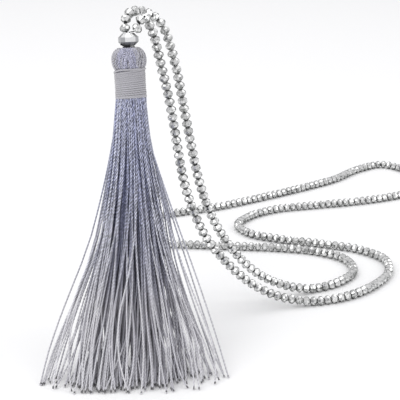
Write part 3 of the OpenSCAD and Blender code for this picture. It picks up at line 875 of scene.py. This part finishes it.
# From the binding to the table: share of the way down, shares of the half width and half depth
SKIRT_ROWS = [(0, 0.186, 0.484), (0.06, 0.216, 0.5), (0.14, 0.25, 0.53), (0.24, 0.312, 0.57),
              (0.36, 0.392, 0.63), (0.48, 0.476, 0.7), (0.58, 0.572, 0.76), (0.68, 0.684, 0.82),
              (0.78, 0.796, 0.88), (0.88, 0.9, 0.94), (0.95, 0.96, 0.98), (1, 1, 1)]


def fan_share(t):
    i = min(max(bisect.bisect_right([row[0] for row in SKIRT_ROWS], t), 1), len(SKIRT_ROWS) - 1)
    a, b = SKIRT_ROWS[i - 1], SKIRT_ROWS[i]
    f = (t - a[0]) / (b[0] - a[0])
    return a[1] + (b[1] - a[1]) * f, a[2] + (b[2] - a[2]) * f


def in_fan(x, y, t):
    h = (FAN_MID - skirt_top).length
    middle = blend(skirt_top, h * down, FAN_MID, h * leaning(FAN_LEAN, 0), t)
    ahead = leaning(HEAD_LEAN * (1 - t), SIDE_LEAN * (1 - t))
    tilt = math.radians(SIDE_LEAN * (1 - t))
    across = Vector((math.cos(tilt), 0, math.sin(tilt)))
    wide, deep = fan_share(t)
    return (middle + across * (x * wide * FAN_W / 2) + across.cross(ahead) * (y * deep * FAN_D / 2)
            + Vector((0, x * FAN_SLANT * t * t, 0)))


print("fan from", [round(c, 1) for c in in_fan(-1, 0, 1)], "to", [round(c, 1) for c in in_fan(1, 0, 1)])

# %% [markdown]
# ## What makes one cord differ from the next
# Real cords sway a little, kink where they leave the binding, and bend away from a straight line, so low
# in the fan they cross. That is drawn by lot, from one seed. A few hang apart at the edges, and how far
# each of those reaches and bows is listed one by one, because they stand out singly against the white.

# %% Cords of the fringe
CORD_COUNT = 270
GOLDEN_ANGLE = 137.508  # degrees from one cord to the next, which spreads them evenly over the bundle
SHELL_FROM = 0.8  # share of the bundle's radius past which a cord is an outer one
# Cords that hang apart: side, reach of the end past the fan's edge, bow of the middle away from it
STRAYS = [(-1, 0.08, 0.07), (-1, 0.05, -0.02), (-1, 0.02, -0.03), (1, 0.14, 0.05), (1, 0.09, 0.03),
          (1, 0.08, -0.04), (1, 0.03, -0.03), (1, 0.01, -0.1), (1, -0.04, -0.14), (1, -0.08, -0.06)]
# Place in the bundle and in the fan, sway, bend and where it starts, kink, a stray's reach and bow, and end
Cord = namedtuple("Cord", "radius x0 y0 x1 y1 wave phase beat bend late curl reach bow end")


def fringe_cords():
    dice = random.Random(31)
    cords = []
    for i in range(CORD_COUNT):
        r, a = math.sqrt((i + 0.5) / CORD_COUNT), i * math.radians(GOLDEN_ANGLE)
        x0, y0 = r * math.cos(a), r * math.sin(a)
        x1 = min(0.97, max(-0.97, 0.84 * x0 + dice.gauss(0, 0.16)))
        y1 = min(0.7, max(-0.85, -0.76 - 0.32 * x1, 0.72 * y0 + dice.gauss(-0.1, 0.2)))
        wave, phase, beat = dice.uniform(0.01, 0.08), dice.uniform(0, math.tau), dice.uniform(5, 12)
        bend, late, curl = dice.gauss(0, 0.16), dice.uniform(0.4, 0.75), dice.uniform(0.01, 0.06)
        end = 1 - abs(dice.gauss(0, 0.005))
        cords.append(Cord(r, x0, y0, x1, y1, wave, phase, beat, bend, late, curl, reach=0, bow=0, end=end))
    for side, reach, bow in STRAYS:
        y = dice.uniform(-0.35, 0.35)
        x = side * math.sqrt(1 - y * y)
        late = dice.uniform(0.08, 0.35)
        phase = dice.uniform(0, math.tau)
        cords.append(Cord(1, x, y, x, y * 0.8, 0.015, phase, 5, 0, late, 0, reach=reach, bow=bow, end=1))
    return cords


cords = fringe_cords()
strays = [c for c in cords if c.reach]
shell = [c for c in cords if c.radius >= SHELL_FROM and not c.reach]
shell.sort(key=lambda c: math.atan2(c.y0, c.x0))
heart = [c for c in cords if c.radius < SHELL_FROM]
print("cords in the fringe:", len(shell), "outside,", len(heart), "inside,", len(strays), "apart")

# %% [markdown]
# ## The line of one cord
# Each cord starts inside the binding and goes down the fan in even steps. In the photo the fringe hangs
# closer in on its right than the fan does, and the widest strays there run taut from where they leave it.
# Along a cord a painted shade deepens with its depth in the bundle, most in the middle of the fringe.

# %% Line and shade of a cord
FRINGE_LENGTH = 118  # mm from the binding to the table, to share into steps
BUNDLE_INSET = 0.3  # the bundle starts this far inside the binding's outside
CORD_WIDTH = 0.8
KINK_FADES, KINK_BEAT = 18, 190  # how fast a kink dies down, and how tight it is
NARROWEST, NARROW_UNTIL = 0.2, 0.85  # largest share by which the right side is drawn in, and where it ends
# Where every cord leaves the binding: radius of the bundle's edge and height above the fringe's start
MOUTH = [(4.6, 1.6), (4.95, 0.6), (5.7, 0.05)]
TAUT_REACH = 0.05  # strays that reach further than this run taut


# Share by which the right side hangs closer in than the fan
def narrowed(t):
    return NARROWEST * math.sin(math.pi * min(1, t / NARROW_UNTIL) ** 0.55)


# What a cord's distance from the middle is multiplied by. Gone is the share of its free way behind it.
def width_kept(cord, x, t, gone):
    if x <= 0:
        return 1
    if cord.reach > TAUT_REACH and gone:
        start = fan_share(cord.late)[0] * (1 - narrowed(cord.late))
        return (start + (1 - start) * gone) / fan_share(t)[0]
    return 1 - narrowed(t) * (max(0, 1 - (t / 0.4) ** 2) if cord.reach else 1)


# Painted shade at a place in the bundle, where out is 1 at the edge and 0 in the middle
def painted_bundle_shade(out, t):
    inwards = max(0, 1 - out / (1 - 0.15 * t))
    middle = math.sin(math.pi * t)
    hidden = 0.25 * max(0, inwards - 0.3) * middle
    return max(0.25, 1 - (0.45 + 0.12 * middle - 0.3 * t) * min(1, inwards * 3) - hidden)


def fringe_line(cord, step):
    tight = 1 - BUNDLE_INSET / (BIND_D / 2)
    line = [on_axis(skirt_top, wide * cord.radius, math.atan2(cord.y0, cord.x0), up) for wide, up in MOUTH]
    # Painted shade for each point, from its depth in the bundle
    depth = [painted_bundle_shade(cord.radius, 0)] * len(line)
    x0, y0 = cord.x0 * tight, cord.y0 * tight
    count = round(FRINGE_LENGTH / step)
    for k in range(1, count + 1):
        t = k / count * cord.end
        eased = t * t * (3 - 2 * t)
        gone = max(0, t - cord.late) / (1 - cord.late)
        swing = cord.wave * math.sin(cord.phase + cord.beat * t) * t
        swing += cord.curl * math.exp(-KINK_FADES * t) * math.sin(cord.phase + KINK_BEAT * t)
        swing += cord.bend * (gone ** 1.3 - eased)
        x, y = x0 + (cord.x1 - x0) * eased + swing, y0 + (cord.y1 - y0) * eased + swing * 0.6
        out = 1 + cord.reach * gone + cord.bow * math.sin(math.pi * gone) / (1 - cord.late)
        line.append(in_fan(x * out * width_kept(cord, x, t, gone), y * out, t))
        depth.append(painted_bundle_shade(math.hypot(x, y), t))
    line[-1].z = max(line[-1].z, floor_z + CORD_WIDTH / 2)
    return line, depth


print("shade at the edge and in the middle, half way down:", painted_bundle_shade(1, 0.5), round(painted_bundle_shade(0, 0.5), 3))

# %% [markdown]
# ## Fringe pieces
# The cords are made as joined meshes. The outer ones are fine and turn with their twist. They make four
# pieces, each a quarter of the way round the bundle, which keeps every piece small enough to export. The
# strays are one piece, and so are the cords inside, which have longer steps and fewer sides, because only
# their edges show. Their mesh doesn't turn, so their material draws the turns.

# %% Fringe pieces
SHELL_PIECES = 4
FINE_STEP, PLAIN_STEP = 0.42, 1.6
NO_TWIST = 10000  # a turn this long doesn't show


def fringe_piece(name, group, yarn, step, width, waist, sides, twist, seed):
    drawn = [fringe_line(cord, step) for cord in group]
    data = swept_cords(name, [line for line, depth in drawn], width, waist, sides, twist, seed,
                       painted_shades=[depth for line, depth in drawn])
    finish_piece(name, data, yarn, ["tassel_skirt"])


for n in range(SHELL_PIECES):
    group = shell[n * len(shell) // SHELL_PIECES:(n + 1) * len(shell) // SHELL_PIECES]
    fringe_piece(f"fringe_outer_{n + 1}", group, fringe_yarn, FINE_STEP, CORD_WIDTH, waist=0.6, sides=8,
                 twist=FRINGE_TWIST, seed=41 + n)
fringe_piece("fringe_strays", strays, stray_yarn, FINE_STEP, width=0.74, waist=0.75, sides=8,
             twist=FRINGE_TWIST, seed=47)
fringe_piece("fringe_inner", heart, inner_yarn, PLAIN_STEP, width=0.74, waist=0.85, sides=6, twist=NO_TWIST,
             seed=51)

# %% [markdown]
# ## Finish on the cut rondelles
# The large rondelle and the two long runs of cut rondelles are already right in the solid model, so they
# stay, and only get their crystal.

# %% Crystal on the solid model's rondelles
CUT_STONES = {"large_rondelle": large_crystal, "beads_inner": small_crystal, "beads_outer": small_crystal}
for name, material in CUT_STONES.items():
    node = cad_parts[name]
    node.data.materials.clear()
    node.data.materials.append(material)
    print(name, len(node.data.polygons), "triangles, smooth:", any(p.use_smooth for p in node.data.polygons))
